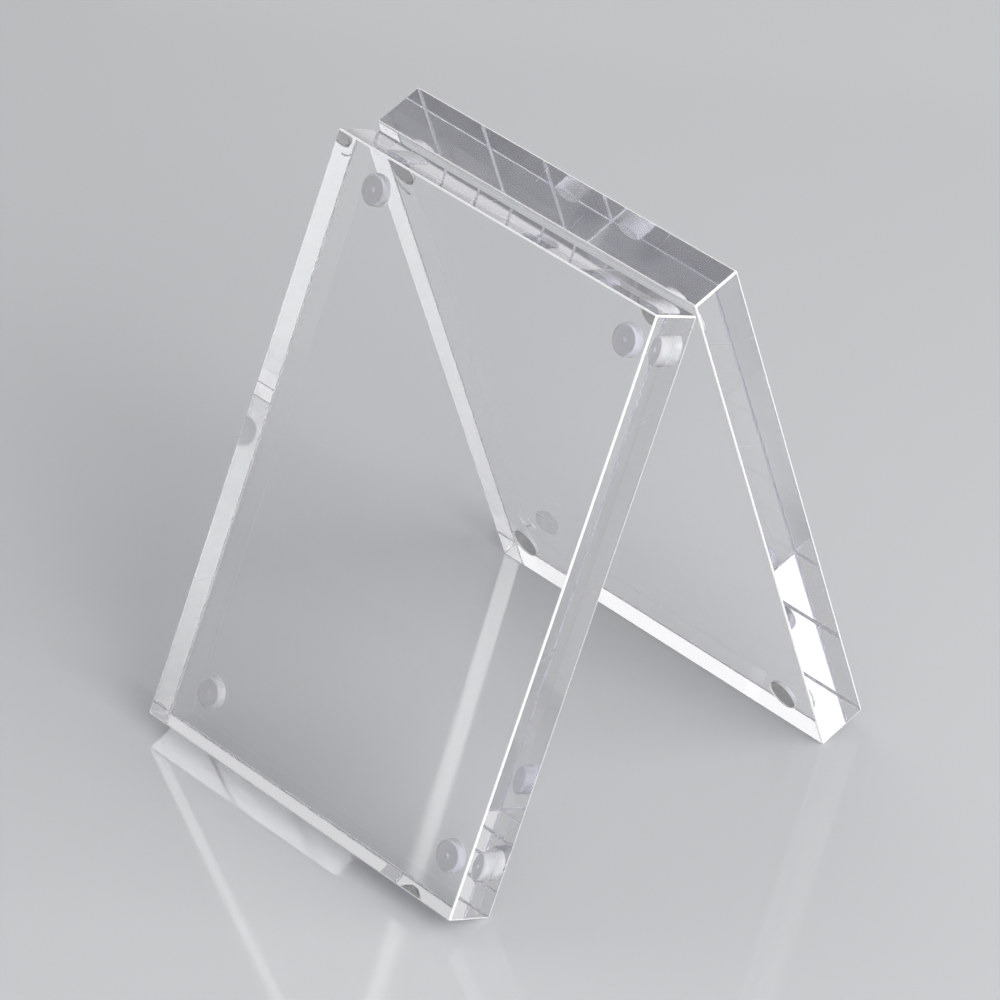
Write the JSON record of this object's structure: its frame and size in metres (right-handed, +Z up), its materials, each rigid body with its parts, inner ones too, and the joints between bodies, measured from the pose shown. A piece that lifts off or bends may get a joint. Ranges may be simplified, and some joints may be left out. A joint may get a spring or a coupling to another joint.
{
  "type": "magnetic photo frame",
  "caption": "Clear acrylic photo frame of two thick blocks held together by small round magnets set in their inner faces, opened and standing as a tent.",
  "frame": {"origin": "on the table, under the middle of the standing frame's footprint", "axes": "+X to the right as seen from the front, +Y to the rear, +Z up"},
  "size_m": [0.075, 0.0918, 0.1019],
  "materials": {
    "clear_acrylic": "polished",
    "nickel_plate": "polished",
    "cured_glue": "satin"
  },
  "bodies": {
    "rear": {"rear_block": "clear_acrylic", "rear_magnet_top_left": "nickel_plate", "rear_magnet_top_right": "nickel_plate", "rear_magnet_bottom_left": "nickel_plate", "rear_magnet_bottom_right": "nickel_plate", "rear_glue_top_left": "cured_glue", "rear_glue_top_right": "cured_glue", "rear_glue_bottom_left": "cured_glue", "rear_glue_bottom_right": "cured_glue"},
    "front": {"front_block": "clear_acrylic", "front_magnet_top_left": "nickel_plate", "front_magnet_top_right": "nickel_plate", "front_magnet_bottom_left": "nickel_plate", "front_magnet_bottom_right": "nickel_plate", "front_glue_top_left": "cured_glue", "front_glue_top_right": "cured_glue", "front_glue_bottom_left": "cured_glue", "front_glue_bottom_right": "cured_glue"}
  },
  "joints": [
    {"name": "fold", "type": "hinge", "parent": "rear", "child": "front", "pos_m": [0, -0.00012, 0.09675], "axis": [1, 0, 0], "range_deg": [-8, 41.9]}
  ]
}
